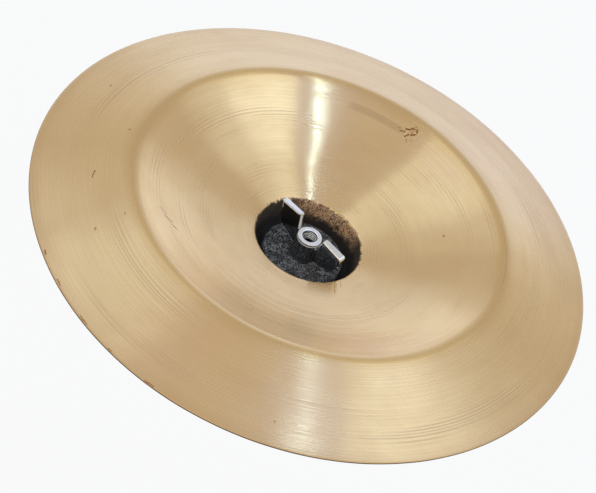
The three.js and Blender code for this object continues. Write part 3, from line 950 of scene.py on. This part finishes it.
def wing(settings):
    """One wing in millimetres: a web whose neck, top and upper outer edge fold back as one flange."""
    foot, shoulder = Vector((20.2, 5.3)), Vector((WING_REACH, 12.6))
    outer_top, inner_top = Vector((WING_REACH, 19.6)), Vector((10, 20.4))
    neck = (7.35, BARREL_TOP - NUT_FOOT - 1)
    root = Vector((6.6, 0.8))
    edge = subdivided(bent_path([
        tuple(shoulder), (*outer_top, 1.3, 8), (*inner_top, 1.3, 8), neck,
    ]), 0.4)
    lengths = np.cumsum([0] + [(b - a).length for a, b in zip(edge, edge[1:])])
    outer, inner = (lengths[min(range(len(edge)), key=lambda k: (edge[k] - corner).length)]
                    for corner in (outer_top, inner_top))
    depths = [max(STEEL + 0.1, flange_depth(length - outer, length - inner, outer)) for length in lengths]

    # Section across the fold: how far inwards of the edge, and how deep, None for the flange's full depth
    bend, overlap = 1.1, 3.2
    section = [(overlap, 0.0), (bend, 0.0)]
    section += [(bend - bend * math.sin(t), bend - bend * math.cos(t))
                for t in (math.radians(15 * k) for k in range(1, 6))]
    section += [(0, bend), (0, None), (STEEL, None), (STEEL, STEEL + 0.05), (STEEL + 0.05, STEEL),
                (overlap, STEEL)]
    points = []
    for inward, y in section:
        for at, reach in zip(offset_path(edge, inward), depths):
            points.append((at.x, reach if y is None else y, at.y))
    count = len(edge)
    faces = []
    for row in range(len(section)):
        a, b = row * count, (row + 1) % len(section) * count
        faces += [(a + k, a + k + 1, b + k + 1, b + k) for k in range(count - 1)]
    faces.append([row * count for row in range(len(section))])
    faces.append([row * count + count - 1 for row in range(len(section))][::-1])

    # The web, from its root in the barrel round the foot corner to just inside the folded edge
    inner_edge = offset_path(edge, 1.0)
    outline = [root] + bent_path([
        tuple(root), (*foot, 3, 8), (WING_REACH, 12.4, 6, 6), tuple(edge[3])])[1:-1]
    outline += inner_edge + [Vector((root.x, inner_edge[-1].y))]
    base = len(points)
    for y in (0.0, STEEL):
        points += [(p.x, y, p.y) for p in outline]
    size = len(outline)
    faces.append([base + k for k in range(size)])
    faces.append([base + size + k for k in range(size)][::-1])
    faces += [(base + k, base + (k + 1) % size, base + size + (k + 1) % size, base + size + k)
              for k in range(size)]
    place = wing_place(settings)
    return [place @ Vector(p) for p in points], faces


def wing_place(settings):
    """Stands a wing drawn in X and Z on the nut's foot, leaning over, in millimetres."""
    return Matrix.Translation((0, -STEEL / 2, NUT_FOOT)) @ Matrix.Rotation(settings.lean, 4, "X")


def make_nut_body(settings):
    points, faces = wing(settings)
    parts = []
    for angle in (0, math.pi):
        spin = Matrix.Rotation(angle, 4, "Z")
        parts.append(made(f"wing_{len(parts)}", [spin @ p * MM for p in points], faces))
    outside, foot_flare = BARREL_BORE + BARREL_WALL, 0.95
    parts.append(turned("barrel", bent_path([
        (BARREL_BORE, NUT_FOOT + 3, 0, 1),
        (BARREL_BORE, NUT_FOOT, 0.3, 2),
        (outside + foot_flare, NUT_FOOT, 0.25, 3),
        (outside, NUT_FOOT + 2.6, 2, 6),
        (outside, BARREL_TOP, 0.3, 3),
        (BARREL_BORE, BARREL_TOP, 0.3, 2),
        (BARREL_BORE, NUT_FOOT + 3.01, 0, 1),
    ])[:-1], 96))
    body = joined("wing_nut_pressing", parts)
    applied(body, "REMESH", mode="VOXEL", voxel_size=settings.grain, use_smooth_shade=True)
    applied(body, "SMOOTH", factor=0.5, iterations=3)
    cutter = turned("bore_cutter", [
        (0.01, NUT_FOOT - 1), (BARREL_BORE, NUT_FOOT - 1), (BARREL_BORE, BARREL_TOP + 1),
        (0.01, BARREL_TOP + 1)], 96)
    applied(body, "BOOLEAN", operation="DIFFERENCE", object=cutter, solver="EXACT")
    bpy.data.objects.remove(cutter)
    smooth(body, 40)
    return body


def mark_sheared_faces(body, settings):
    """Gives the second material, near white with a painted highlight, to the sheared end of each flange,
    which the plating left matt.
    """
    back = wing_place(settings).inverted()
    for face in body.data.polygons:
        centre, normal = face.center / MM, face.normal.copy()
        if centre.x < 0:
            centre = Vector((-centre.x, -centre.y, centre.z))
            normal = Vector((-normal.x, -normal.y, normal.z))
        at = back @ centre

        # Folded past the sheet, above the foot corner and clear of the barrel and of the outer edge
        on_flange = at.y > 1.7 and at.z > 10 and 7 < at.x < WING_REACH - 1
        if on_flange and (back.to_3x3() @ normal).y > 0.6:
            face.material_index = 1


def make_bush():
    """Threaded bush: a tube with a ring that is staked over the body."""
    ring_foot = BUSH_TOP - 1.25
    tube = 5.8
    bore_rows = np.arange(BUSH_TOP - 0.3, NUT_FOOT + 0.3, -THREAD_STEP)
    outline = [Vector((NUT_ROOT, z)) for z in bore_rows]
    outline += [Vector((NUT_ROOT + 0.32, NUT_FOOT))]
    outline += subdivided([Vector((NUT_ROOT + 0.9, NUT_FOOT)), Vector((tube, NUT_FOOT)),
                           Vector((tube, ring_foot)), Vector((RING_RADIUS - 0.15, ring_foot))], 1.2)
    outline += bent_path([
        (RING_RADIUS, ring_foot + 0.1), (RING_RADIUS, BUSH_TOP, 0.4, 5),
        (NUT_ROOT + 1.2, BUSH_TOP, 0.2, 2), (NUT_ROOT + 0.35, BUSH_TOP - 0.08)])

    def radius_at(radii, heights, angle):
        wave = thread_wave(heights, angle) * faded(heights, NUT_FOOT + 0.2, BUSH_TOP - 0.25, 0.6)
        threaded = radii - THREAD_DEPTH * wave
        lobes = 0.1 * np.cos(7 * angle + 0.6) ** 8 + 0.05 * np.cos(3 * angle + 1)
        lobed = radii - np.where(radii > tube + 0.5, 0.12 - lobes, 0)
        return np.where(radii <= NUT_ROOT + 0.01, threaded, lobed)

    return turned("wing_nut_threaded_bush", outline, 120, radius_at, 55)


def make_rod():
    shank, chamfer = SHANK_RADIUS, 0.8
    rows = np.arange(SHOULDER + 0.2, ROD_TOP - chamfer, THREAD_STEP)
    outline = [(0, 0)] + [tuple(p) for p in bent_path([
        (shank - 1.6, 0), (shank - chamfer, 0, 0.15, 2), (shank, chamfer, 0.3, 3),
        (shank, SHOULDER, 0.25, 3), (ROD_CREST + 0.05, SHOULDER)])]
    outline += [(ROD_CREST, z) for z in rows]
    outline += [(ROD_CREST - 0.05, ROD_TOP - chamfer), (ROD_CREST - chamfer, ROD_TOP - 0.03),
                (ROD_CREST - chamfer - 0.2, ROD_TOP), (1.5, ROD_TOP), (0, ROD_TOP)]

    def radius_at(radii, heights, angle):
        wave = thread_wave(heights, angle) * faded(heights, SHOULDER + 0.9, ROD_TOP + 0.4, 1.2)
        threaded = np.minimum(radii, ROD_CREST - THREAD_DEPTH * wave)
        return np.where((radii <= ROD_CREST) & (radii > ROD_CREST - chamfer - 0.1), threaded, radii)

    return capped("threaded_rod", outline, 96, radius_at, 50)


def make_hex_nut():
    low, high = (corner.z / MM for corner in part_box("seat_nut"))
    flats = 13.0
    corner = flats / 2 / math.cos(math.pi / 6)
    body = capped("hexagon_nut", [
        (0, low - 1), (corner, low - 1), (corner, high + 1), (0, high + 1)], 6)
    applied(body, "BEVEL", width=0.00012, segments=2, limit_method="ANGLE")
    cone = capped("cone", [
        (0, low), (corner - 1.0, low), (corner + 0.05, low + 0.55),
        (corner + 0.05, high - 0.55), (corner - 1.0, high), (0, high)], 128)
    applied(body, "BOOLEAN", operation="INTERSECT", object=cone, solver="EXACT")
    bore = NUT_ROOT + 0.01
    hole = turned("hole", [
        (0.01, low - 2), (bore + 1.4, low - 1), (bore, low + 0.35), (bore, high - 0.35),
        (bore + 1.4, high + 1), (0.01, high + 2)], 96)
    applied(body, "BOOLEAN", operation="DIFFERENCE", object=hole, solver="EXACT")
    for tool in (cone, hole):
        bpy.data.objects.remove(tool)
    smooth(body, 24)
    return body


def make_washer():
    low, high = (corner.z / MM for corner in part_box("seat_washer"))
    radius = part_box("seat_washer")[1].x / MM
    bore = 4.15

    def radius_at(radii, heights, angle):
        burr = 0.05 * (1 + np.sin(5 * angle) * np.sin(11 * angle + 2))
        return np.where(radii > radius - 1, radii - burr, radii)

    return turned("flat_washer", subdivided(bent_path([
        (bore, (low + high) / 2), (bore, low, 0.15, 3), (radius, low, 0.5, 5), (radius, high, 0.22, 4),
        (bore, high, 0.3, 4), (bore, (low + high) / 2 + 0.01)]), 2.5)[:-1], 128, radius_at, 50)


def make_sleeve():
    low, high = (corner.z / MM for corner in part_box("sleeve"))
    bore, radius = 4.2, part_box("sleeve")[1].x / MM
    return turned("nylon_sleeve", subdivided(bent_path([
        (bore, (low + high) / 2), (bore, low, 0.1, 2), (radius, low, 0.2, 4), (radius, high, 0.3, 5),
        (bore, high, 0.25, 4), (bore, (low + high) / 2 + 0.01)]), 1.5)[:-1], 96)


# ---------------------------------------------------------------- stage

# Height of the bow, over which the panels hang, in metres
BOW_LEVEL = 0.085

# How far the camera aims to the left of the rim's middle and below it, in metres
AIM_LEFT, AIM_BELOW = 0.003595, 0.013716

# Light panels that the bronze mirrors: name, middle and size as shares of their height, glow, turn in
# degrees and tint
WINDOW_TINT = (0.55, 0.78, 1.2)
WHITE_TINT = (0.5, 0.9, 2.0)
PANELS = (
    ("left_panel", (-0.55, 0.06), (0.50, 0.36), 0.205, 0, WINDOW_TINT),
    ("left_panel_fringe", (-0.76, 0.14), (0.92, 0.66), 0.07, 0, WINDOW_TINT),
    ("right_panel", (0.32, 0.42), (0.42, 0.44), 0.315, 45, WINDOW_TINT),
    ("right_panel_fringe", (0.24, 0.62), (0.6, 0.8), 0.11, 45, WINDOW_TINT),
    ("pale_panel", (0.43, 0.5), (0.2, 0.6), 0.5, 0, (0.42, 0.85, 1.1)),
    ("streak_head", (0.156, 0.11), (0.065, 0.06), 2.2, 45, WHITE_TINT),
    ("streak_lamp", (0.014, 0.285), (0.011, 0.41), 2.6, 45, WHITE_TINT),
)

# Far wall: azimuth and elevation in degrees, distance and size in metres, glow and tint
FAR_WALL = ((119, 18), 2.6, (2.4, 1.8), 0.12, (0.3, 0.5, 1.0))


def add_lamp(name, size, glow, tint):
    """An area lamp of this size in metres and this radiance."""
    data = bpy.data.lights.new(name, "AREA")
    data.shape = "RECTANGLE"
    data.size, data.size_y = size
    data.energy = glow * 4 * math.pi * data.size * data.size_y
    data.color = tint
    lamp = bpy.data.objects.new(name, data)
    bpy.context.scene.collection.objects.link(lamp)
    lamp.visible_camera = False
    return lamp


def hang_panel(height, name, middle, size, glow, turn, tint):
    """A light panel that hangs level over the cymbal. Middle and size are shares of its height."""
    lamp = add_lamp(name, [side * height for side in size], glow, tint)
    lamp.location = (middle[0] * height, middle[1] * height, height + BOW_LEVEL)
    lamp.rotation_euler.z = math.radians(turn)


def stand_lamp(name, direction, distance, size, glow, tint):
    """A lamp that faces the cymbal from an azimuth and an elevation in degrees."""
    azimuth, elevation = direction
    lamp = add_lamp(name, size, glow, tint)
    out = polar(1, azimuth) * math.cos(math.radians(elevation))
    out.z = math.sin(math.radians(elevation))
    lamp.location = out * distance
    lamp.rotation_euler = out.to_track_quat("Z", "Y").to_euler()


def make_camera(settings):
    azimuth, elevation = settings.azimuth, settings.elevation
    back = Vector((math.sin(azimuth) * math.cos(elevation), -math.cos(azimuth) * math.cos(elevation),
                   math.sin(elevation)))
    level = Vector((0, 0, 1)).cross(back).normalized()
    upright = back.cross(level)
    right = level * math.cos(settings.roll) + upright * math.sin(settings.roll)
    up = upright * math.cos(settings.roll) - level * math.sin(settings.roll)
    target = Vector((0, 0, RIM_HEIGHT * MM)) - level * AIM_LEFT - upright * AIM_BELOW
    data = bpy.data.cameras.new("camera")
    data.lens, data.sensor_width, data.sensor_fit = settings.lens, 36, "HORIZONTAL"
    data.clip_start, data.clip_end = 0.05, 50
    camera = bpy.data.objects.new("camera", data)
    bpy.context.scene.collection.objects.link(camera)
    turn = Matrix((right, up, back)).transposed().to_4x4()
    camera.matrix_world = Matrix.Translation(target + back * settings.distance) @ turn
    bpy.context.scene.camera = camera


def seen_rays(nodes):
    """1 for rays that show the background: straight, mirrored or through glass."""
    path = nodes.add("ShaderNodeLightPath")
    seen = nodes.math("MAXIMUM", path.outputs["Is Camera Ray"], path.outputs["Is Glossy Ray"])
    return nodes.math("MAXIMUM", seen, path.outputs["Is Transmission Ray"])


def make_world(settings):
    """A pale room: bright low round the cymbal, dimmer overhead, white on the side at azimuth -60."""
    world = bpy.data.worlds.new("studio")
    bpy.context.scene.world = world
    nodes = Nodes(world, "Generated")
    straight = nodes.add("ShaderNodeLightPath").outputs["Is Camera Ray"]
    overhead = nodes.ramp(nodes.upward(nodes.place), 0.2, 0.42)
    room = nodes.mix(overhead, tuple(settings.horizon), (settings.zenith,) * 3)
    white_side = nodes.ramp(nodes.vector("DOT_PRODUCT", nodes.place, tuple(polar(1, -60))), 0.25, 0.6)
    room = nodes.mix(white_side, room, (1, 1, 1))
    shade = nodes.mix(straight, room, (settings.backdrop,) * 3)
    light = nodes.add("ShaderNodeBackground", {"Color": shade, "Strength": 1.0})
    nodes.show(light, "ShaderNodeOutputWorld")


def make_floor(settings):
    reach, drop = 9.0, -settings.floor_drop
    corners = ((-reach, -reach, drop), (reach, -reach, drop), (reach, reach, drop), (-reach, reach, drop))
    floor = made("floor", corners, [(0, 1, 2, 3)])
    nodes = new_nodes("pale_floor")
    mottle = nodes.noise(nodes.place, 3.0, 2.0)
    paint = nodes.mix(nodes.ramp(mottle, 0.3, 0.7), (0.8, 0.8, 0.8), (0.82, 0.82, 0.82))
    plain = nodes.add("ShaderNodeBsdfDiffuse", {"Color": paint})

    # Seen directly it is nine tenths glow, a little brighter than the background to make up for the paint
    level = settings.backdrop + 0.035
    glow = nodes.add("ShaderNodeEmission", {"Color": (level, level, level, 1), "Strength": 1.0})
    share = nodes.math("MULTIPLY", seen_rays(nodes), 0.9)
    both = nodes.add("ShaderNodeMixShader", {0: share, 1: plain.outputs[0], 2: glow.outputs[0]})
    nodes.show(both, "ShaderNodeOutputMaterial")
    floor.data.materials.append(nodes.owner)


# ---------------------------------------------------------------- operators

class BuildStage(bpy.types.Operator):
    """Adds the camera, the light panels, the pale world and the floor"""
    bl_idname = "china_cymbal.stage"
    bl_label = "Studio"

    def execute(self, context):
        settings = context.scene.cymbal_stage
        make_camera(settings)
        make_world(settings)
        make_floor(settings)
        for panel in PANELS:
            hang_panel(settings.panel_height, *panel)
        stand_lamp("far_wall", *FAR_WALL)
        context.scene.view_settings.view_transform = "Standard"
        return {"FINISHED"}


class BuildCymbal(bpy.types.Operator):
    """Adds the bronze sheet with its bell, bow, ridge and turned-back flange"""
    bl_idname = "china_cymbal.sheet"
    bl_label = "Cymbal"

    def execute(self, context):
        settings = context.scene.cymbal_sheet
        dressed(make_sheet(settings), bronze_material(settings), CYMBAL, ["cymbal"])
        return {"FINISHED"}


class BuildFelts(bpy.types.Operator):
    """Adds the felt under the bell and the felt inside it"""
    bl_idname = "china_cymbal.felts"
    bl_label = "Felts"

    def execute(self, context):
        settings = context.scene.cymbal_felt
        material = felt_material(settings)
        past_edge, nut_edge = 99, 9.4
        make_felt("lower_felt", past_edge, (STAND, LOWER_CUSHION, UPPER_CUSHION), material, settings, 11)
        make_felt("upper_felt", nut_edge, (UPPER_CUSHION, LOWER_CUSHION, STAND), material, settings, 23)
        return {"FINISHED"}


class BuildWingNut(bpy.types.Operator):
    """Adds the pressed body of the wing nut and its threaded bush"""
    bl_idname = "china_cymbal.wing_nut"
    bl_label = "Wing nut"

    def execute(self, context):
        settings = context.scene.cymbal_nut
        plating = plated_material("bright_plating", tuple(settings.plating), settings.roughness,
                                  wear=0.85, shade_webs=True)
        body = dressed(make_nut_body(settings), plating, NUT_BODY, ["wing_nut_body"])
        body.data.materials.append(sheared_face_with_painted_highlight())
        mark_sheared_faces(body, settings)
        bush = plated_material("turned_plating", tuple(settings.plating), 0.26, blotch=600.0,
                               thread=(NUT_ROOT - 0.62, NUT_ROOT - 0.25))
        dressed(make_bush(), bush, NUT_BODY, ["wing_nut_bush"])
        return {"FINISHED"}


class BuildRod(bpy.types.Operator):
    """Adds the threaded rod end with its hexagon nut, washer and sleeve"""
    bl_idname = "china_cymbal.rod"
    bl_label = "Rod end"

    def execute(self, context):
        settings = context.scene.cymbal_rod
        plating = plated_material("rod_plating", tuple(settings.plating), 0.3,
                                  thread=(ROD_CREST, ROD_CREST - 0.4))
        zinc = plated_material("zinc_plating", tuple(settings.zinc), 0.36, blotch=150.0)
        dressed(make_rod(), plating, STAND, ["mounting_rod"])
        dressed(make_hex_nut(), zinc, STAND, ["seat_nut"])
        dressed(make_washer(), zinc, STAND, ["seat_washer"])
        dressed(make_sleeve(), nylon_material(settings), STAND, ["sleeve"])
        return {"FINISHED"}


STEPS = (BuildStage, BuildRod, BuildCymbal, BuildFelts, BuildWingNut)
SETTINGS = {
    "cymbal_stage": StageSettings,
    "cymbal_rod": RodSettings,
    "cymbal_sheet": CymbalSettings,
    "cymbal_felt": FeltSettings,
    "cymbal_nut": NutSettings,
}


class CymbalPanel(bpy.types.Panel):
    """Lists the steps that build the cymbal, with their settings"""
    bl_idname = "VIEW3D_PT_china_cymbal"
    bl_label = "China cymbal"
    bl_space_type = "VIEW_3D"
    bl_region_type = "UI"
    bl_category = "Cymbal"

    def draw(self, context):
        for step, name in zip(STEPS, SETTINGS):
            box = self.layout.box()
            box.operator(step.bl_idname)
            settings = getattr(context.scene, name)
            for key in settings.__annotations__:
                box.prop(settings, key)


def register():
    for kind in (*SETTINGS.values(), *STEPS, CymbalPanel):
        bpy.utils.register_class(kind)
    for name, kind in SETTINGS.items():
        setattr(bpy.types.Scene, name, PointerProperty(type=kind))


def unregister():
    for name in SETTINGS:
        delattr(bpy.types.Scene, name)
    for kind in (CymbalPanel, *reversed(STEPS), *reversed(SETTINGS.values())):
        bpy.utils.unregister_class(kind)


def main():
    register()
    for step in (bpy.ops.china_cymbal.stage, bpy.ops.china_cymbal.rod, bpy.ops.china_cymbal.sheet,
                 bpy.ops.china_cymbal.felts, bpy.ops.china_cymbal.wing_nut):
        step()


if __name__ == "__main__":
    main()
